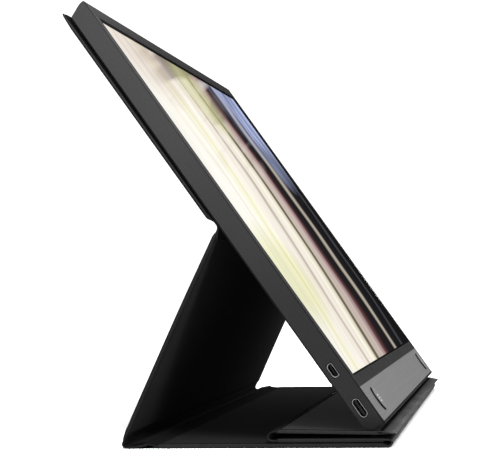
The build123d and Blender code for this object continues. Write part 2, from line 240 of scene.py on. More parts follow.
def math_node(nt, op, a, b=None, c=None):
    n = node(nt, "ShaderNodeMath", operation=op)
    for i, x in enumerate((a, b, c)):
        if x is None:
            continue
        if isinstance(x, (int, float)):
            n.inputs[i].default_value = x
        else:
            nt.links.new(x, n.inputs[i])
    return n.outputs[0]


def ramp(nt, fac, stops, interp="LINEAR"):
    n = node(nt, "ShaderNodeValToRGB")
    n.color_ramp.interpolation = interp
    el = n.color_ramp.elements
    while len(el) > 1:
        el.remove(el[-1])
    el[0].position = stops[0][0]
    el[0].color = (*stops[0][1], 1)
    for pos, col in stops[1:]:
        e = el.new(pos)
        e.color = (*col, 1)
    nt.links.new(fac, n.inputs["Fac"])
    return n.outputs["Color"]


def mix_rgb(nt, fac, a, b, mode="MIX"):
    n = node(nt, "ShaderNodeMix", data_type="RGBA", blend_type=mode)
    if isinstance(fac, (int, float)):
        n.inputs[0].default_value = fac
    else:
        nt.links.new(fac, n.inputs[0])
    for i, x in ((6, a), (7, b)):
        if isinstance(x, tuple):
            n.inputs[i].default_value = (*x, 1.0)
        else:
            nt.links.new(x, n.inputs[i])
    return n.outputs[2]


def bump(nt, bsdf, height, distance, strength=1.0, after=None):
    n = node(nt, "ShaderNodeBump")
    n.inputs["Strength"].default_value = strength
    n.inputs["Distance"].default_value = distance
    nt.links.new(height, n.inputs["Height"])
    if after is not None:
        nt.links.new(after, n.inputs["Normal"])
    if bsdf is not None:
        nt.links.new(n.outputs["Normal"], bsdf.inputs["Normal"])
    return n.outputs["Normal"]


def grey(v, tint=(1.0, 1.0, 1.0)):
    return (v * tint[0], v * tint[1], v * tint[2])


# ------------------------------------------------------------------ materials
def display_coords(nt):
    """Distances in mm from the left edge, down the face and behind the face of the display."""
    tc = node(nt, "ShaderNodeTexCoord")
    sep = node(nt, "ShaderNodeSeparateXYZ")
    nt.links.new(tc.outputs["Object"], sep.inputs[0])
    out = []
    for axis, c0 in (((0.0, UPV[0], UPV[1]), SHIFT * UPV[0] + FOOT_Z * UPV[1]), ((0.0, NRM[0], NRM[1]), SHIFT * NRM[0] + FOOT_Z * NRM[1])):
        dot = node(nt, "ShaderNodeVectorMath", operation="DOT_PRODUCT")
        dot.inputs[1].default_value = axis
        nt.links.new(tc.outputs["Object"], dot.inputs[0])
        out.append(math_node(nt, "SUBTRACT", math_node(nt, "MULTIPLY", dot.outputs["Value"], 1000.0), c0))
    u_mm = math_node(nt, "ADD", math_node(nt, "MULTIPLY", sep.outputs["X"], 1000.0), W / 2)
    v_mm = math_node(nt, "SUBTRACT", 227.0, out[0])
    t_mm = math_node(nt, "MULTIPLY", out[1], -1.0)
    return u_mm, v_mm, t_mm


def plastic(name, base, rough=(0.52, 0.66), speck=0.22, tint=(1.0, 1.0, 1.01), spec=0.3, trim=False):
    """Finely speckled matt moulding; trim paints a darker line round the front edge on the outer walls, and painted
    shade on the front border, deepest at the window.
    """
    mat, nt, b = new_mat(name)
    vec = coords(nt)
    fine = noise_tex(nt, vec, 1500.0, 2.0, 0.6)
    wide = noise_tex(nt, vec, 22.0, 3.0, 0.5)
    f1 = remap(nt, fine, 1.0 - speck, 1.0 + speck, 0.3, 0.7)
    f2_ = remap(nt, wide, 0.94, 1.06, 0.3, 0.7)
    amount = math_node(nt, "MULTIPLY", f1, f2_)
    amount = remap(nt, amount, 0.0, 1.0, 0.6, 1.4)
    col = ramp(nt, amount, [(0.0, grey(base * 0.62, tint)), (0.5, grey(base, tint)), (1.0, grey(base * 1.42, tint))])
    if trim:
        u_mm, v_mm, t_mm = display_coords(nt)
        half = math_node(nt, "SUBTRACT", W / 2, math_node(nt, "ABSOLUTE", math_node(nt, "SUBTRACT", u_mm, W / 2)))
        edge = math_node(nt, "MINIMUM", half, math_node(nt, "ADD", v_mm, 0.9))
        # the line: from 0.12 to 0.62 mm behind the front face, on the outer walls
        line = math_node(nt, "MULTIPLY", remap(nt, t_mm, 0.0, 1.0, 0.02, 0.14), remap(nt, t_mm, 1.0, 0.0, 0.46, 0.62))
        line = math_node(nt, "MULTIPLY", line, remap(nt, edge, 1.0, 0.0, 0.45, 0.6))
        # painted shade: the smoother front border is darker than the sides, and darkest at the window
        front = remap(nt, t_mm, 1.0, 0.0, 0.02, 0.12)
        inner = remap(nt, edge, trim, trim * 1.75, 0.5, 8.0)
        k = math_node(nt, "SUBTRACT", 1.0, math_node(nt, "MULTIPLY", line, 0.66))
        k = math_node(nt, "SUBTRACT", k, math_node(nt, "MULTIPLY", front, inner))
        # painted shade: the foot's lower back corner is darkened where it turns away from the light
        foot = math_node(nt, "MULTIPLY", remap(nt, math_node(nt, "ADD", v_mm, math_node(nt, "MULTIPLY", t_mm, 0.85)), 1.0, 0.42, 222.0, 232.0), 1.0)
        k = math_node(nt, "MULTIPLY", k, foot)
        col = mix_rgb(nt, 1.0, col, k, "MULTIPLY")
    nt.links.new(col, b.inputs["Base Color"])
    nt.links.new(remap(nt, noise_tex(nt, vec, 300.0, 3.0), rough[0], rough[1], 0.3, 0.7), b.inputs["Roughness"])
    b.inputs["Specular IOR Level"].default_value = spec
    grain = noise_tex(nt, vec, 2600.0, 3.0, 0.65)
    bump(nt, b, grain, 0.000012, 0.4)
    return mat


def brushed(name, base, along=(6.0, 2600.0, 2600.0), rough=(0.4, 0.52), metallic=1.0, amount=0.1, spec=0.5, painted_far_light=0.0):
    mat, nt, b = new_mat(name)
    vec = coords(nt, along)
    lines = noise_tex(nt, vec, 1.0, 3.0, 0.6)
    soft = noise_tex(nt, coords(nt), 30.0, 2.0)
    k = math_node(nt, "MULTIPLY", remap(nt, lines, 1.0 - amount, 1.0 + amount, 0.3, 0.7), remap(nt, soft, 0.97, 1.03, 0.3, 0.7))
    k = remap(nt, k, 0.0, 1.0, 0.7, 1.3)
    if painted_far_light:
        # painted light: the colour is a shade lighter towards the far side, standing in for the light falling along the
        # chin
        tc = nt.nodes.new("ShaderNodeTexCoord")
        sep = nt.nodes.new("ShaderNodeSeparateXYZ")
        nt.links.new(tc.outputs["Object"], sep.inputs[0])
        k = math_node(nt, "ADD", k, remap(nt, sep.outputs[0], -painted_far_light * 0.7, painted_far_light, -0.18, 0.18))
    nt.links.new(ramp(nt, k, [(0.0, grey(base * 0.7)), (0.5, grey(base)), (1.0, grey(base * 1.3))]), b.inputs["Base Color"])
    nt.links.new(remap(nt, lines, rough[0], rough[1], 0.3, 0.7), b.inputs["Roughness"])
    b.inputs["Metallic"].default_value = metallic
    b.inputs["Specular IOR Level"].default_value = spec
    bump(nt, b, lines, 0.000004, 0.35)
    return mat


def leatherette(name, base, rough=(0.5, 0.68), spec=0.3, density=1150.0, relief=1.0):
    """Fine-grained artificial leather: pebbled cells with creases between them."""
    mat, nt, b = new_mat(name)
    vec = coords(nt)
    warp = noise_tex(nt, vec, 700.0, 2.0)
    cells = voronoi(nt, vec, density)
    cells = math_node(nt, "ADD", cells, remap(nt, warp, -0.18, 0.18, 0.3, 0.7))
    pores = noise_tex(nt, vec, 3800.0, 2.0, 0.7)
    wide = noise_tex(nt, vec, 26.0, 4.0, 0.55)
    shade = math_node(nt, "MULTIPLY", remap(nt, cells, 1.12, 0.86, 0.1, 0.8), remap(nt, wide, 0.9, 1.1, 0.3, 0.7))
    shade = remap(nt, shade, 0.0, 1.0, 0.6, 1.4)
    nt.links.new(ramp(nt, shade, [(0.0, grey(base * 0.6)), (0.5, grey(base)), (1.0, grey(base * 1.4))]), b.inputs["Base Color"])
    nt.links.new(remap(nt, wide, rough[0], rough[1], 0.3, 0.7), b.inputs["Roughness"])
    b.inputs["Specular IOR Level"].default_value = spec
    n1 = bump(nt, None, math_node(nt, "MULTIPLY", cells, -1.0), 0.00005 * relief, 0.42)
    bump(nt, b, pores, 0.000012 * relief, 0.3, after=n1)
    return mat


def microfibre(name, base, sheen=0.25, tint=(1.0, 1.0, 1.01)):
    """Short-napped lining: fine fibre bump, soft brushed patches and a sheen."""
    mat, nt, b = new_mat(name)
    vec = coords(nt)
    nap = noise_tex(nt, coords(nt, (900.0, 2200.0, 2200.0)), 1.0, 3.0, 0.7)
    patch = noise_tex(nt, coords(nt, (28.0, 60.0, 60.0)), 1.0, 4.0, 0.6, 0.4)
    shade = math_node(nt, "MULTIPLY", remap(nt, nap, 0.78, 1.22, 0.3, 0.7), remap(nt, patch, 0.88, 1.12, 0.3, 0.7))
    shade = remap(nt, shade, 0.0, 1.0, 0.6, 1.4)
    nt.links.new(ramp(nt, shade, [(0.0, grey(base * 0.6, tint)), (0.5, grey(base, tint)), (1.0, grey(base * 1.4, tint))]), b.inputs["Base Color"])
    nt.links.new(remap(nt, patch, 0.86, 0.98, 0.3, 0.7), b.inputs["Roughness"])
    b.inputs["Specular IOR Level"].default_value = 0.0
    b.inputs["Sheen Weight"].default_value = sheen
    b.inputs["Sheen Roughness"].default_value = 0.45
    b.inputs["Sheen Tint"].default_value = (1.0, 1.0, 1.0, 1.0)
    n1 = bump(nt, None, nap, 0.00006, 0.7)
    bump(nt, b, patch, 0.0004, 0.25, after=n1)
    return mat


def simple(name, base, rough, metallic=0.0, scale=400.0, spread=0.12, bump_mm=0.01, spec=0.5):
    """A plain finish with grain of its own for small and hidden pieces."""
    mat, nt, b = new_mat(name)
    vec = coords(nt)
    n = noise_tex(nt, vec, scale, 3.0, 0.6)
    k = remap(nt, n, 0.0, 1.0, 0.3, 0.7)
    lo = tuple(c * (1 - spread) for c in base)
    hi = tuple(min(1.0, c * (1 + spread)) for c in base)
    nt.links.new(ramp(nt, k, [(0.0, lo), (1.0, hi)]), b.inputs["Base Color"])
    nt.links.new(remap(nt, noise_tex(nt, vec, scale * 0.3, 2.0), rough * 0.88, min(1.0, rough * 1.12), 0.3, 0.7), b.inputs["Roughness"])
    b.inputs["Metallic"].default_value = metallic
    b.inputs["Specular IOR Level"].default_value = spec
    bump(nt, b, n, bump_mm / 1000.0, 0.5)
    return mat


def screen_material():
    """The lit picture: soft long streaks of light over cream, brown and grey, made from stretched noise."""
    mat, nt, b = new_mat("screen_lit")
    tc = node(nt, "ShaderNodeTexCoord")
    dot = node(nt, "ShaderNodeVectorMath", operation="DOT_PRODUCT")
    dot.inputs[1].default_value = (0.0, UPV[0], UPV[1])
    nt.links.new(tc.outputs["Object"], dot.inputs[0])
    sep = node(nt, "ShaderNodeSeparateXYZ")
    nt.links.new(tc.outputs["Object"], sep.inputs[0])
    s0 = (SHIFT * UPV[0] + FOOT_Z * UPV[1]) / 1000.0
    up_m = math_node(nt, "SUBTRACT", dot.outputs["Value"], s0)          # 0 at v = 227 mm
    u_ = math_node(nt, "MULTIPLY", math_node(nt, "ADD", sep.outputs["X"], W / 2000.0), 1000.0 / W)  # 0..1
    v_ = math_node(nt, "MULTIPLY", math_node(nt, "SUBTRACT", 0.227, up_m), 1000.0 / 227.0)          # 0..1
    # flow lines: ribbons of light that bend gently down the picture and fan out towards its foot
    comb = node(nt, "ShaderNodeCombineXYZ")
    nt.links.new(math_node(nt, "MULTIPLY", u_, 1.7), comb.inputs[0])
    nt.links.new(math_node(nt, "MULTIPLY", v_, 1.1), comb.inputs[1])
    comb.inputs[2].default_value = 4.3
    warp = math_node(nt, "SUBTRACT", noise_tex(nt, comb.outputs[0], 1.0, 2.0, 0.5, 0.2), 0.5)
    bend = math_node(nt, "MULTIPLY", math_node(nt, "SINE", math_node(nt, "MULTIPLY", v_, 3.4)), -0.055)
    slope = math_node(nt, "MULTIPLY", math_node(nt, "SUBTRACT", v_, 0.5), 0.10)
    flow = math_node(nt, "ADD", math_node(nt, "ADD", u_, bend), math_node(nt, "ADD", slope, math_node(nt, "MULTIPLY", warp, 0.30)))
    tones = ramp(nt, flow, [
        (0.000, (1.0, 0.97, 0.90)), (0.110, (1.0, 0.96, 0.85)), (0.165, (0.93, 0.90, 0.66)), (0.215, (1.0, 0.95, 0.86)),
        (0.285, (0.90, 0.83, 0.73)), (0.306, (0.52, 0.45, 0.38)), (0.325, (0.90, 0.84, 0.74)), (0.395, (0.97, 0.92, 0.80)),
        (0.430, (0.80, 0.74, 0.56)), (0.448, (0.20, 0.16, 0.13)), (0.462, (0.10, 0.08, 0.07)), (0.482, (0.60, 0.52, 0.42)),
        (0.530, (0.60, 0.49, 0.46)), (0.572, (0.40, 0.28, 0.27)), (0.606, (0.09, 0.032, 0.034)), (0.640, (0.010, 0.005, 0.007)),
        (0.705, (0.004, 0.004, 0.006)), (0.722, (0.30, 0.27, 0.21)), (0.738, (0.52, 0.47, 0.38)), (0.752, (0.33, 0.29, 0.25)), (0.768, (0.006, 0.006, 0.008)),
        (0.845, (0.002, 0.002, 0.003)), (0.868, (0.05, 0.05, 0.06)), (0.888, (0.002, 0.002, 0.003)), (1.000, (0.001, 0.001, 0.002)),
    ], "EASE")
    # a fainter family of streaks runs across them near the top
    cross = math_node(nt, "ADD", math_node(nt, "MULTIPLY", v_, 1.0), math_node(nt, "MULTIPLY", u_, 0.34))
    comb2 = node(nt, "ShaderNodeCombineXYZ")
    nt.links.new(math_node(nt, "MULTIPLY", cross, 13.0), comb2.inputs[0])
    nt.links.new(math_node(nt, "MULTIPLY", u_, 1.3), comb2.inputs[1])
    comb2.inputs[2].default_value = 8.1
    rays = noise_tex(nt, comb2.outputs[0], 1.0, 2.0, 0.5, 0.1)
    upper = remap(nt, v_, 1.0, 0.0, 0.02, 0.42)
    mid_u = math_node(nt, "MULTIPLY", remap(nt, u_, 0.0, 1.0, 0.10, 0.34), remap(nt, u_, 1.0, 0.25, 0.62, 0.80))
    k1 = math_node(nt, "MULTIPLY", math_node(nt, "MULTIPLY", upper, mid_u), remap(nt, rays, 0.0, 0.9, 0.49, 0.60))
    tones = mix_rgb(nt, k1, tones, (0.11, 0.085, 0.075))
    k2 = math_node(nt, "MULTIPLY", math_node(nt, "MULTIPLY", upper, mid_u), remap(nt, rays, 0.75, 0.0, 0.34, 0.45))
    tones = mix_rgb(nt, k2, tones, (0.90, 0.86, 0.80))
    # soft glows: yellow-green low on the left, lavender high on the right, a pink haze at the top left
    def glow(cu, cv, ru, rv, soft=1.0):
        du = math_node(nt, "DIVIDE", math_node(nt, "SUBTRACT", u_, cu), ru)
        dv = math_node(nt, "DIVIDE", math_node(nt, "SUBTRACT", v_, cv), rv)
        d2 = math_node(nt, "ADD", math_node(nt, "MULTIPLY", du, du), math_node(nt, "MULTIPLY", dv, dv))
        return remap(nt, math_node(nt, "ADD", d2, math_node(nt, "MULTIPLY", warp, 1.6)), 1.0, 0.0, 0.35, 1.0 + soft)
    tones = mix_rgb(nt, math_node(nt, "MULTIPLY", glow(0.12, 0.66, 0.14, 0.10), 0.62), tones, (0.80, 0.80, 0.42))
    tones = mix_rgb(nt, math_node(nt, "MULTIPLY", glow(0.17, 0.06, 0.15, 0.12), 0.50), tones, (0.66, 0.53, 0.46))
    comb4 = node(nt, "ShaderNodeCombineXYZ")
    nt.links.new(math_node(nt, "MULTIPLY", flow, 17.0), comb4.inputs[0])
    nt.links.new(math_node(nt, "MULTIPLY", v_, 2.6), comb4.inputs[1])
    comb4.inputs[2].default_value = 2.9
    veil = remap(nt, noise_tex(nt, comb4.outputs[0], 1.0, 2.0, 0.5, 0.1), 0.15, 1.0, 0.38, 0.56)
    tones = mix_rgb(nt, math_node(nt, "MULTIPLY", glow(0.885, 0.07, 0.15, 0.24, 0.75), math_node(nt, "MULTIPLY", veil, 0.95)), tones, (0.46, 0.53, 0.84))
    tones = mix_rgb(nt, math_node(nt, "MULTIPLY", glow(0.50, 0.12, 0.10, 0.10), 0.55), tones, (0.62, 0.62, 0.30))
    # fine grain of streaks along the flow
    comb3 = node(nt, "ShaderNodeCombineXYZ")
    nt.links.new(math_node(nt, "MULTIPLY", flow, 46.0), comb3.inputs[0])
    nt.links.new(math_node(nt, "MULTIPLY", v_, 2.2), comb3.inputs[1])
    comb3.inputs[2].default_value = 17.7
    grain = remap(nt, noise_tex(nt, comb3.outputs[0], 1.0, 3.0, 0.55, 0.1), 0.86, 1.08, 0.3, 0.7)
    tones = mix_rgb(nt, 1.0, tones, grain, "MULTIPLY")
    b.inputs["Base Color"].default_value = (0.003, 0.003, 0.003, 1)
    b.inputs["Roughness"].default_value = 0.32
    b.inputs["Specular IOR Level"].default_value = 0.0
    nt.links.new(tones, b.inputs["Emission Color"])
    b.inputs["Emission Strength"].default_value = 1.0
    ag = noise_tex(nt, coords(nt), 5200.0, 2.0, 0.6)
    bump(nt, b, ag, 0.000012, 0.5)
    return mat


M = {}
# the frame's colour carries painted shade on its front border and at the foot's lower back corner
M["frame"] = plastic("frame_plastic", 0.009, rough=(0.72, 0.84), spec=0.03, speck=0.14, trim=0.34)
M["rear"] = plastic("rear_plastic", 0.0045, rough=(0.66, 0.8), spec=0.04)
M["chin"] = brushed("chin_brushed", 0.044, along=(10.0, 5200.0, 5200.0), rough=(0.54, 0.64), amount=0.02, metallic=0.2, spec=0.12, painted_far_light=0.26)
M["screen"] = screen_material()
M["skin"] = leatherette("cover_skin", 0.0085, spec=0.03)
M["skin_outer"] = leatherette("cover_skin_outer", 0.015, rough=(0.52, 0.68), spec=0.14, density=820.0, relief=2.2)
# painted shade: skin_back, skin_base and skin_dark are darker copies of the same leather for the panels and folds that
# lie in shade
M["skin_back"] = leatherette("cover_skin_back", 0.0033, spec=0.02)
M["skin_base"] = leatherette("cover_skin_base", 0.006, spec=0.03)
M["skin_dark"] = leatherette("cover_skin_shaded", 0.0042, spec=0.02)
M["lining"] = microfibre("cover_lining", 0.0024, sheen=0.055)
# painted shade: lining_dark and lining_base are darker copies of the same lining, with less sheen, for the shaded
# inside of the cover and its edges
M["lining_dark"] = microfibre("cover_lining_shaded", 0.0014, sheen=0.009)
M["lining_base"] = microfibre("cover_lining_base", 0.0026, sheen=0.016)
# painted shade: the sockets' nickel is darkened to stand for the shade deep in the mouths
M["port_metal"] = brushed("port_nickel_shaded", 0.05, along=(900.0, 900.0, 900.0), rough=(0.3, 0.42), amount=0.08)
M["port_rim"] = brushed("port_rim", 0.1, along=(900.0, 900.0, 900.0), rough=(0.5, 0.6), amount=0.05, metallic=0.3)
# painted shade: near black for the caps' walls
M["button_side"] = simple("button_side", (0.003, 0.003, 0.003), 0.8, spec=0.0)
M["port_insert"] = simple("port_insert", (0.01, 0.01, 0.01), 0.6, spec=0.1)
# painted shade: near black for the window's recess wall and the port mouths
M["gasket"] = simple("gasket_black", (0.003, 0.003, 0.003), 0.9, spec=0.0)
M["steel"] = brushed("steel_rolled", 0.5, along=(80.0, 1500.0, 1500.0), rough=(0.3, 0.42))
M["screw"] = simple("screw_black", (0.03, 0.03, 0.031), 0.38, metallic=0.8)
M["pcb"] = simple("circuit_board", (0.012, 0.075, 0.035), 0.38, scale=700.0, spread=0.3)
M["film"] = simple("diffuser_film", (0.82, 0.82, 0.8), 0.6)
M["acrylic"] = simple("light_guide", (0.78, 0.8, 0.8), 0.15)
M["led"] = simple("led_strip", (0.8, 0.78, 0.62), 0.35)
M["cell"] = simple("cell_foil", (0.32, 0.33, 0.35), 0.35, metallic=0.7)
M["lead"] = simple("lead_rubber", (0.03, 0.03, 0.03), 0.6)
M["ribbon"] = simple("ribbon_film", (0.22, 0.12, 0.03), 0.35)
M["board"] = simple("fibre_board", (0.1, 0.095, 0.088), 0.85, scale=900.0, spread=0.25)
M["magnet"] = simple("magnet_nickel", (0.45, 0.45, 0.46), 0.28, metallic=1.0)


def paint(node_name, mat, slot=None):
    o = NODES[node_name]
    o.data.materials.clear()
    o.data.materials.append(mat)
    for p in o.data.polygons:
        p.material_index = 0


for n_, m_ in {
    "bezel_frame": "frame", "rear_cover": "rear", "cover_screws": "screw", "chin_panel": "chin", "lcd_glass": "screen",
    "diffuser_films": "film", "light_guide": "acrylic", "led_bar": "led", "backlight_tray": "steel", "main_board": "pcb",
    "board_shields": "steel", "usb_c_socket": "port_metal", "hdmi_socket": "port_metal", "usb_c_tongue": "port_insert",
    "hdmi_tongue": "port_insert", "battery_cells": "cell", "battery_lead": "lead", "panel_ribbon": "ribbon",
    "button_boards": "pcb", "button_domes": "steel", "menu_button": "chin", "power_button": "chin", "keeper_plates": "steel",
    "fixing_magnets": "magnet",
}.items():
    paint(n_, M[m_])
for p_ in ("back_panel", "leg_panel", "spine_panel", "base_panel", "under_flap", "rest_flap"):
    paint(p_ + "_skin", M["skin"])
    paint(p_ + "_board", M["board"])
    paint(p_ + "_lining", M["lining"])
for p_ in ("fold_back_leg", "fold_leg_spine", "fold_spine_base", "fold_base_flap", "fold_flap_rest"):
    paint(p_, M["skin"])


# ------------------------------------------------------------------ mesh helpers
def finish_mesh(name, bm, mats, smooth=True, angle=40.0):
    bmesh.ops.remove_doubles(bm, verts=bm.verts, dist=1e-7)
    bmesh.ops.recalc_face_normals(bm, faces=bm.faces)
    me = bpy.data.meshes.new(name)
    bm.to_mesh(me)
    bm.free()
    ob = bpy.data.objects.new(name, me)
    scene.collection.objects.link(ob)
    for mt in mats:
        me.materials.append(mt)
    if smooth:
        for p in me.polygons:
            p.use_smooth = True
        me.set_sharp_from_angle(angle=math.radians(angle))
    return ob


def rounded_ring(x0, x1, y0, y1, rad, step=5.0, arc=5):
    """Counts of points along the sides of a rectangle, the same for any inset of one panel."""
    nx = max(2, int((x1 - x0) / step))
    ny = max(2, int((y1 - y0) / step))
    return nx, ny


def ring_points(x0, x1, y0, y1, radii, nx, ny, arc):
    """Counter-clockwise from the lower left corner. radii: (x0,y0), (x1,y0), (x1,y1), (x0,y1)."""
    pts = []
    corners = [
        (x0 + radii[0], y0 + radii[0], radii[0], 180.0),
        (x1 - radii[1], y0 + radii[1], radii[1], 270.0),
        (x1 - radii[2], y1 - radii[2], radii[2], 0.0),
        (x0 + radii[3], y1 - radii[3], radii[3], 90.0),
    ]
    for i, (cx, cy, rr, a) in enumerate(corners):
        for j in range(arc + 1):
            t = math.radians(a + 90.0 * j / arc)
            pts.append((cx + rr * math.cos(t), cy + rr * math.sin(t)))
        n = nx if i % 2 == 0 else ny
        nxt = corners[(i + 1) % 4]
        t = math.radians(nxt[3])
        p1 = (nxt[0] + nxt[2] * math.cos(t), nxt[1] + nxt[2] * math.sin(t))
        p0 = pts[-1]
        for j in range(1, n):
            pts.append((p0[0] + (p1[0] - p0[0]) * j / n, p0[1] + (p1[1] - p0[1]) * j / n))
    return pts


def plate(name, place, size, profile, radii, mats, step=6.0, arc=6, wave=None, face_mat=None):
    """A thin panel built as rings: profile lists (inset, height) from the middle of one face, out round the edge, to the middle of the other.

    place maps (x, y, z) in mm to the model's frame."""
    x0, x1, y0, y1 = size
    nx = max(2, int((x1 - x0) / step))
    ny = max(2, int((y1 - y0) / step))
    bm = bmesh.new()
    rings = []
    for inset, z in profile:
        rr = [max(q - inset, 0.12) for q in radii]
        pts = ring_points(x0 + inset, x1 - inset, y0 + inset, y1 - inset, rr, nx, ny, arc)
        row = []
        for x, y in pts:
            dz = wave(x, y, z, inset) if wave else 0.0
            row.append(bm.verts.new(place(x, y, z + dz)))
        rings.append(row)
    count = len(rings[0])
    for k, (ra, rb) in enumerate(zip(rings, rings[1:])):
        for i in range(count):
            j = (i + 1) % count
            fc = bm.faces.new((ra[i], ra[j], rb[j], rb[i]))
            if face_mat:
                fc.material_index = face_mat(k)
    for row, k in ((rings[0], 0), (rings[-1], len(rings) - 2)):
        fc = bm.faces.new(row if row is rings[-1] else row[::-1])
        if face_mat:
            fc.material_index = face_mat(k)
    return finish_mesh(name, bm, mats)


def smooth_line(pts, n=6):
    """More points on a gentle curve through the given ones, whatever they carry."""
    out = []
    dims = range(len(pts[0]))
    for i in range(len(pts) - 1):
        p0, p1, p2 = pts[max(i - 1, 0)], pts[i], pts[i + 1]
        p3 = pts[min(i + 2, len(pts) - 1)]
        for j in range(n):
            q = j / n
            out.append(tuple(
                0.5 * (2 * p1[c] + (p2[c] - p0[c]) * q + (2 * p0[c] - 5 * p1[c] + 4 * p2[c] - p3[c]) * q * q
                       + (3 * p1[c] - p0[c] - 3 * p2[c] + p3[c]) * q ** 3) for c in dims))
    return out + [pts[-1]]


def crease(name, pts, half, lining_left, wobble=0.05, seed=0.0, taper=0.0, lmat="lining", smat="skin", omat=None):
    """A flexible band along a side-view line of (y, z, thickness), drawn out along the width.

    lining_left says whether the lining is on the left of the line as it runs.
    taper draws the points in front of y = 0 back by that share towards the far side."""
    line = smooth_line(pts)
    n = len(line)
    normals = []
    for i, p in enumerate(line):
        q0, q1 = line[max(i - 1, 0)], line[min(i + 1, n - 1)]
        dx, dz = q1[0] - q0[0], q1[1] - q0[1]
        mm = math.hypot(dx, dz) or 1.0
        normals.append((-dz / mm, dx / mm))
    stations = [-half, -half + 0.06, -half + 0.18, -half + 0.4]
    x = -half + 2.0
    while x < half - 1.9:
        stations.append(x)
        x += 4.0
    stations += [half - 0.4, half - 0.18, half - 0.06, half]
    bm = bmesh.new()
    rows = []
    for xs in stations:
        e = half - abs(xs)
        shrink = 1.0 if e > 0.3 else (0.94 if e > 0.12 else (0.82 if e > 0.03 else 0.6))
        far = (xs + half) / (2 * half)
        row = []
        for side in (1, -1):
            seq = range(n) if side == 1 else range(n - 1, -1, -1)
            for i in seq:
                p, nn = line[i], normals[i]
                edge = math.sin(math.pi * i / (n - 1))
                wob = wobble * edge * noise.noise(Vector((xs * 0.035 + seed, i * 0.16, seed)))
                off = side * p[2] / 2 * shrink + wob
                y, z = p[0] + nn[0] * off, p[1] + nn[1] * off
                if y < 0.0:
                    y *= 1.0 - taper * far
                row.append(bm.verts.new(P(xs, y, z)))
        rows.append(row)
    c = len(rows[0])
    for k, (ra, rb) in enumerate(zip(rows, rows[1:])):
        for i in range(c):
            j = (i + 1) % c
            fc = bm.faces.new((ra[i], ra[j], rb[j], rb[i]))
            left = i < n - 1
            if i == n - 1 or i == c - 1:
                continue
            if left == lining_left:
                fc.material_index = 1
            elif 3 <= k < len(rows) - 4:
                fc.material_index = 2
    bm.faces.new(rows[0][::-1])
    bm.faces.new(rows[-1])
    return finish_mesh(name, bm, [M[smat], M[lmat], M[omat or smat]], angle=50.0)


# ------------------------------------------------------------------ cover panels
def panel_place(origin, n_in):
    """Panel coordinates: x across, y along the panel, z from the outer face inwards."""
    yd = (n_in[1], -n_in[0])

    def place(x, y, z):
        return P(x, origin[0] + yd[0] * y + n_in[0] * z, origin[1] + yd[1] * y + n_in[1] * z)

    return place


def cover_panel(name, body, origin, n_in, length, thick, radii, lin, seed, bow=None, pinch=0.0, rim=0.45, lmat="lining", smat="skin", wrap=0.4):
    place = panel_place(origin, n_in)
    body_t = thick - lin
    half = min(length / 2, HW) - 0.3
    deep = [d for d in (46.0, 34.0, 24.0, 16.0, 10.0, 6.5) if d < half - 0.4]

    def wave(x, y, z, inset):
        base = bow(y / length) if bow else 0.0
        if pinch and z < body_t - 0.15 and y > length - 6.0:
            # the outer skin is pressed thin towards the panel's free end
            q = (y - (length - 6.0)) / 6.0
            base += (body_t - 0.15 - z) / body_t * pinch * q * q * (3 - 2 * q)
        if inset < 1.0:
            return base
        k = min(1.0, (inset - 1.0) / 6.0)
        amp = 0.05 * k * noise.noise(Vector((x * 0.016 + seed, y * 0.022, seed)))
        return base + (abs(amp) if z < thick / 2 else -abs(amp))

    er = min(0.62, body_t * 0.42)
    prof = [(d, 0.0) for d in deep]
    if half > 5.0:
        # a shallow pressed line runs round the outer face, close to its edge
        prof += [(4.4, 0.0), (3.5, 0.03), (3.15, 0.12), (2.8, 0.13), (2.45, 0.05), (2.0, 0.0)]
    n_out = len(prof)
    for q in range(0, 7):
        a = math.radians(90.0 * q / 6)
        prof.append((er * (1 - math.sin(a)) , er * (1 - math.cos(a))))
    hr = min(wrap, body_t * 0.6)
    for q in range(0, 5):
        a = math.radians(90.0 * q / 4)
        prof.append((hr * (1 - math.cos(a)), body_t - hr * (1 - math.sin(a))))
    prof += [(1.2, body_t + 0.02)] + [(min(2.0, half * 0.6), body_t)] + [(d, body_t) for d in reversed(deep)]
    skin = plate(name + "_outer", place, (-HW, HW, 0.0, length), prof, [max(q, 0.9) for q in radii], [M[smat], M["skin_outer"]], wave=wave,
                 face_mat=lambda k: 1 if k < n_out else 0)
    lr = min(lin * 0.8, 0.4)
    lp = [(d + 1.0, thick) for d in deep] + [(2.6, thick), (2.0, thick - 0.02)]
    for q in range(0, 5):
        a = math.radians(90.0 * q / 4)
        lp.append((rim + lr * (1 - math.sin(a)), thick - 0.02 - lr * (1 - math.cos(a)) ))
    lp += [(rim, body_t + 0.05), (rim + 0.15, body_t - 0.05), (min(2.4, half * 0.7), body_t - 0.05)] + [(d + 0.5, body_t - 0.05) for d in reversed(deep)]
    # painted shade: within about 2.6 mm of the edge the lining takes its darker, shaded copy
    inner = plate(name + "_inner", place, (-HW, HW, 0.0, length), lp, [max(q, 0.9) for q in radii], [M[lmat], M["lining_dark"]],
                  wave=lambda x, y, z, inset: (wave(x, y, z, inset) if z > body_t + 0.1 else (bow(y / length) if bow else 0.0)),
                  face_mat=lambda k: 0 if k < len(deep) + 1 else 1)
    pieces = [(skin, "skin"), (inner, "lining")]
    if bow:
        b_in = min(4.0, length * 0.18) + 0.2
        brd = plate(name + "_core", place, (-HW + b_in, HW - b_in, b_in, length - b_in),
                    [(12.0, 0.55), (1.0, 0.55), (0.05, 0.6), (0.0, 0.8), (0.0, 1.0), (0.05, 1.12), (1.0, 1.16), (12.0, 1.16)], (0.5,) * 4, [M["board"]],
                    wave=lambda x, y, z, inset: bow(y / length))
        pieces.append((brd, "board"))
    for ob, kind in pieces:
        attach(ob, body)
        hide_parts(f"{name}_{kind}")
    return skin, inner


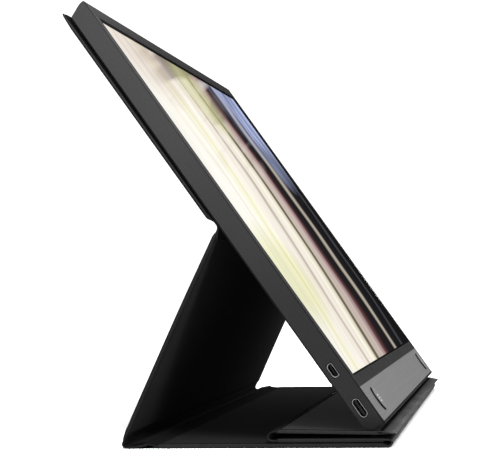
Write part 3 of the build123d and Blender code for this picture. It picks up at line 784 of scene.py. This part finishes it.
fa = math.atan2(F_Z1 - F_Z0, F_Y1 - F_Y0)
f_in = (-math.sin(fa), math.cos(fa))
f_len = math.hypot(F_Z1 - F_Z0, F_Y1 - F_Y0)
# painted shade: the back, leg, spine and base panels and the under flap take the darker copies of skin or lining
cover_panel("back_panel", "display", pvt(A_V1, A_IN + CT), NRM, A_V1 - A_V0, CT, (0, 0, 2.2, 2.2), 0.8, 1.3,
            bow=lambda k: 0.1 - 0.42 * k, pinch=0.7, rim=1.1, lmat="lining_dark", smat="skin_back")
cover_panel("leg_panel", "leg", leg_pt(LEG_LEN - 4.0, CT), leg_in, LEG_LEN - 7.0, CT, (0, 0, 0, 0), 0.16, 5.1,
            bow=lambda k: -0.4 * math.sin(math.pi * k), lmat="lining_dark", smat="skin_dark", wrap=1.1, rim=0.9)
cover_panel("spine_panel", "spine", (C_Y0, C_Z0), SP_IN, C_LEN, CT, (0, 0, 0, 0), 1.1, 9.7, lmat="lining_dark", smat="skin_dark", rim=0.1)
cover_panel("base_panel", "base", (D_Y0, 0.0), (0, 1), D_Y1 - D_Y0, CT, (0, 0, 0, 0), 0.16, 13.9, lmat="lining_base", smat="skin_base")
cover_panel("under_flap", "under_flap", (E_Y1, E_Z0 + E_T), (0, -1), E_Y1 - E_Y0, E_T, (0, 0, 0, 0), 0.16, 17.3, smat="skin_base")
cover_panel("rest_flap", "rest_flap", (F_Y0, F_Z0), f_in, f_len, F_T, (0, 0, 0, 0), 0.16, 21.1)

# the rest flap's thin pressed margin in front
lip = crease("rest_flap_margin", [(F_Y0 + 2.4, 6.45, 1.5), (F_Y0 + 0.6, 6.43, 1.45), (-1.0, 6.3, 0.9), (-2.6, 6.15, 0.62), (F_LIP + 0.5, 5.99, 0.55), (F_LIP + 0.1, 5.96, 0.4)], HW, True, wobble=0.04, seed=3.3, taper=0.16)
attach(lip, "rest_flap")


def at(yz, th_):
    return (yz[0], yz[1], th_)


# creases: the flexible bands between the panels; most take the darker copies of skin and lining, painted shade
c1 = crease("crease_back_leg", [
    at(pvt(A_V1 - 1.6, 11.05), 1.7), at(pvt(A_V1 - 0.4, 11.0), 1.66), at(pvt(A_V1 + 0.5, 10.8), 1.35), at(pvt(112.4, 10.4), 0.8), at(pvt(113.7, 10.02), 0.52),
    at(pvt(115.0, 9.92), 0.48), at(pvt(116.1, 10.02), 0.48), at(pvt(117.2, 10.75), 0.52), at(pvt(118.1, 12.0), 0.75), at(leg_pt(2.8, 1.15), 1.4),
    at(leg_pt(4.0, 1.08), 1.75), at(leg_pt(5.4, 1.08), 1.75)], HW - 0.03, False, seed=1.0, lmat="lining_dark", smat="skin_dark", omat="skin_outer")
c2 = crease("crease_leg_spine", [
    at(leg_pt(LEG_LEN - 5.6, 1.08), 1.75), at(leg_pt(LEG_LEN - 4.2, 1.08), 1.75), at(leg_pt(LEG_LEN - 2.9, 1.2), 1.3), at((114.95, 3.5), 0.85), at((115.4, 2.05), 0.8),
    at((114.85, 0.85), 0.8), at((113.2, 0.5), 0.85), at(spine_pt(C_LEN + 0.2, 0.62), 1.1), at(spine_pt(C_LEN - 0.8, 0.85), 1.5)], HW - 0.03, False, seed=2.0, lmat="lining_dark", smat="skin_dark", omat="skin_outer")
c3 = crease("crease_spine_base", [
    at((D_Y1 - 1.2, 1.03), 1.8), at((D_Y1 + 0.1, 1.05), 1.78), at((100.7, 1.15), 1.55), at((101.5, 1.48), 1.05), at((102.3, 1.72), 0.68), at((103.4, 1.85), 0.66),
    at(spine_pt(-0.3, 0.75), 0.95), at(spine_pt(0.7, 0.9), 1.5)], HW - 0.03, True, seed=3.0, lmat="lining_dark", smat="skin_dark")
c4 = crease("crease_base_flap", [
    at((D_Y0 + 1.6, 0.95), 1.6), at((D_Y0 + 0.3, 0.85), 1.4), at((-1.0, 0.66), 0.95), at((-2.4, 1.15), 0.8), at((-2.92, 2.1), 0.8), at((-2.45, 3.0), 0.8), at((-1.2, 3.4), 0.8),
    at((E_Y0 + 0.2, 3.35), 0.95), at((E_Y0 + 1.3, 3.2), 1.3)], HW - 0.03, False, seed=4.0, taper=0.4)
c5 = crease("crease_flap_rest", [
    at((E_Y1 - 1.3, 3.15), 1.3), at((E_Y1 - 0.1, 3.02), 1.05), at((48.8, 2.95), 0.8), at((50.5, 3.6), 0.8), at((51.0, 4.9), 0.8), at((50.3, 6.15), 0.8), at((48.9, 7.05), 0.85),
    at((F_Y1 + 0.2, 7.35), 1.1), at((F_Y1 - 1.0, 7.33), 1.4)], HW - 0.03, False, seed=5.0, lmat="lining_dark", smat="skin_dark", omat="skin_outer")


for ob, nd, ba, bb, st, en in (
    (c1, "fold_back_leg", "display", "leg", pvt(A_V1 + 0.2, 10.9), leg_pt(2.8, 1.2)),
    (c2, "fold_leg_spine", "leg", "spine", leg_pt(LEG_LEN - 3.8, 1.2), spine_pt(C_LEN + 0.1, 0.6)),
    (c3, "fold_spine_base", "base", "spine", (D_Y1 + 0.1, 1.2), spine_pt(-0.1, 0.8)),
    (c4, "fold_base_flap", "base", "under_flap", (-1.0, 0.95), (-1.0, 3.2)),
    (c5, "fold_flap_rest", "under_flap", "rest_flap", (48.6, 2.8), (48.6, 7.5)),
):
    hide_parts(nd)
    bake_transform(ob)



# ------------------------------------------------------------------ display trim
def strip_ring(name, rows, mats, face_mat=None, closed=True):
    """Skin between rows of points that all have the same count; each row closes on itself."""
    bm = bmesh.new()
    vr = [[bm.verts.new(q) for q in row] for row in rows]
    c = len(vr[0])
    pairs = list(zip(vr, vr[1:]))
    if closed:
        pairs.append((vr[-1], vr[0]))
    for k, (ra, rb) in enumerate(pairs):
        for i in range(c):
            j = (i + 1) % c
            fc = bm.faces.new((ra[i], ra[j], rb[j], rb[i]))
            if face_mat:
                fc.material_index = face_mat(k)
    return finish_mesh(name, bm, mats, angle=35.0)


def window_loop(off, t, rad=0.5):
    """A loop round the window, off inwards from its edge, at depth t."""
    pts = ring_points(WIN_U + off, W - WIN_U - off, WIN_V0 + off, WIN_V1 - off, (rad,) * 4, 60, 34, 4)
    return [D(x, y, t) for x, y in pts]


# painted shade: a black band lines the window's recess wall
gasket = strip_ring("window_gasket", [
    window_loop(0.02, 0.16), window_loop(0.14, 0.1), window_loop(0.3, 0.16), window_loop(0.42, 0.5), window_loop(0.62, 0.72), window_loop(0.95, 0.8),
    window_loop(0.98, 0.905), window_loop(0.02, 0.905)], [M["gasket"]])
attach(gasket, "display")


def slot_outline(w, h):
    a, r = (w - h) / 2, h / 2
    pts = [(a + r * math.cos(math.radians(q)), r * math.sin(math.radians(q))) for q in range(-90, 91, 15)]
    return pts + [(-p[0], -p[1]) for p in pts]


def keyed_outline(w, h):
    c, r = 0.95, 0.5
    corners = [(w / 2, -h / 2 + c), (w / 2, h / 2), (-w / 2, h / 2), (-w / 2, -h / 2 + c), (-w / 2 + c, -h / 2), (w / 2 - c, -h / 2)]
    pts = []
    for i, p in enumerate(corners):
        q0, q1 = corners[i - 1], corners[(i + 1) % len(corners)]
        m0, m1 = math.dist(p, q0), math.dist(p, q1)
        e0 = (p[0] + (q0[0] - p[0]) / m0 * r, p[1] + (q0[1] - p[1]) / m0 * r)
        e1 = (p[0] + (q1[0] - p[0]) / m1 * r, p[1] + (q1[1] - p[1]) / m1 * r)
        for j in range(5):
            k = j / 4
            pts.append(tuple((1 - k) ** 2 * e0[d] + 2 * k * (1 - k) * p[d] + k * k * e1[d] for d in (0, 1)))
    return pts


def mouth(outline_, v, t, w, h, u):
    """Points round a mouth in the display's side, long axis along the side."""
    return [D(u, v - p[0], t - p[1]) for p in outline_(w, h)]


for nm, o_, v_, t_, w_, h_ in (
    ("usb_c_rim", slot_outline, USB_V, PCB_T - USB_H / 2, USB_W, USB_H),
    ("hdmi_rim", keyed_outline, HDMI_V, PCB_T - HDMI_H / 2, HDMI_W, HDMI_H),
):
    # painted shade: a black bevel lines the mouth and its inside is black too, with the shell's bright edge just inside
    # the bevel
    rim = strip_ring(nm, [
        mouth(o_, v_, t_, w_ + g_, h_ + g_, u_) for g_, u_ in (
            (0.86, 0.05), (0.82, 0.0), (0.72, 0.01), (0.12, 0.26), (0.06, 0.22), (-0.3, 0.24), (-0.36, 0.32), (-0.3, 0.5), (0.24, 0.5), (0.26, 0.40))],
        [M["port_rim"], M["gasket"]], face_mat=lambda k: 0 if k in (3, 4, 5) else 1)
    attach(rim, "display")


def button_cap(name, body, u_, node_name):
    """A round cap: flat brushed top with a fine bevel, wall painted near black as shade, wider flange below."""
    prof = [(0.0, -BTN_PROUD), (1.2, -BTN_PROUD), (2.4, -BTN_PROUD), (3.6, -BTN_PROUD), (4.8, -BTN_PROUD + 0.005), (BTN_CAP_R - 0.34, -BTN_PROUD + 0.02), (BTN_CAP_R - 0.2, -BTN_PROUD + 0.05),
            (BTN_CAP_R - 0.08, -BTN_PROUD + 0.13), (BTN_CAP_R - 0.02, -BTN_PROUD + 0.24), (BTN_CAP_R, 0.3), (BTN_CAP_R, 1.86), (BTN_FLANGE_R - 0.1, 1.86), (BTN_FLANGE_R, 1.95), (BTN_FLANGE_R, 2.12),
            (BTN_FLANGE_R - 0.1, 2.2), (2.0, 2.2), (0.0, 2.2)]
    bm = bmesh.new()
    seg = 72
    rows = []
    for rr, t in prof:
        if rr == 0.0:
            rows.append([bm.verts.new(D(u_, BTN_V, t))])
        else:
            rows.append([bm.verts.new(D(u_ + rr * math.cos(2 * math.pi * i / seg), BTN_V + rr * math.sin(2 * math.pi * i / seg), t)) for i in range(seg)])
    for k, (ra, rb) in enumerate(zip(rows, rows[1:])):
        for i in range(seg):
            j = (i + 1) % seg
            vs = [ra[0 if len(ra) == 1 else i], ra[0 if len(ra) == 1 else j], rb[0 if len(rb) == 1 else j], rb[0 if len(rb) == 1 else i]]
            uniq = []
            for q in vs:
                if q not in uniq:
                    uniq.append(q)
            fc = bm.faces.new(uniq)
            fc.material_index = 0 if k <= 7 else 1
    ob = finish_mesh(name, bm, [M["chin_btn"], M["button_side"]], angle=30.0)
    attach(ob, body)
    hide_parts(node_name)
    return ob


def printed_mark(name, body, u_, strokes):
    """A plain printed sign on a cap, as thin raised ink: strokes are closed (u, v) outlines round the cap's middle."""
    bm = bmesh.new()
    for pts in strokes:
        lo = [bm.verts.new(D(u_ + a_, BTN_V + b_, -BTN_PROUD + 0.004)) for a_, b_ in pts]
        hi = [bm.verts.new(D(u_ + a_, BTN_V + b_, -BTN_PROUD - 0.03)) for a_, b_ in pts]
        n_ = len(pts)
        for i in range(n_):
            j = (i + 1) % n_
            bm.faces.new((lo[i], lo[j], hi[j], hi[i]))
        bm.faces.new(hi)
        bm.faces.new(lo[::-1])
    ob = finish_mesh(name, bm, [M["ink"]], smooth=False)
    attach(ob, body)
    return ob


def arc_stroke(r0, r1, a0_, a1_, n=18):
    out = [(r1 * math.cos(math.radians(a0_ + (a1_ - a0_) * i / n)), r1 * math.sin(math.radians(a0_ + (a1_ - a0_) * i / n))) for i in range(n + 1)]
    return out + [(r0 * math.cos(math.radians(a1_ + (a0_ - a1_) * i / n)), r0 * math.sin(math.radians(a1_ + (a0_ - a1_) * i / n))) for i in range(n + 1)]


def bar(u0, u1, v0, v1):
    return [(u0, v0), (u1, v0), (u1, v1), (u0, v1)]


M["chin_btn"] = brushed("button_brushed", 0.053, along=(10.0, 5200.0, 5200.0), rough=(0.54, 0.64), amount=0.02, metallic=0.2, spec=0.12, painted_far_light=0.26)
M["ink"] = simple("printed_ink", (0.2, 0.2, 0.2), 0.6)
button_cap("menu_cap", "menu_button", BTN_U[0], "menu_button")
button_cap("power_cap", "power_button", BTN_U[1], "power_button")
printed_mark("menu_sign", "menu_button", BTN_U[0], [bar(-1.9, 1.9, -1.75, -1.15), bar(-1.9, 1.9, -0.3, 0.3), bar(-1.9, 1.9, 1.15, 1.75)])
printed_mark("power_sign", "power_button", BTN_U[1], [arc_stroke(1.45, 2.0, -55.0, 235.0, 36), bar(-0.28, 0.28, -2.4, -0.4)])

# ------------------------------------------------------------------ floor
bm = bmesh.new()
bmesh.ops.create_grid(bm, x_segments=8, y_segments=8, size=20.0)
floor = finish_mesh("floor", bm, [])
floor.location = (0, 0, -0.00008)
fm, fnt, fb = new_mat("floor_paper")
fn = noise_tex(fnt, coords(fnt), 6.0, 2.0)
fnt.links.new(ramp(fnt, fn, [(0.0, (0.93, 0.93, 0.93)), (1.0, (0.95, 0.95, 0.95))]), fb.inputs["Base Color"])
fb.inputs["Roughness"].default_value = 0.9
fb.inputs["Specular IOR Level"].default_value = 0.1
floor.data.materials.append(fm)
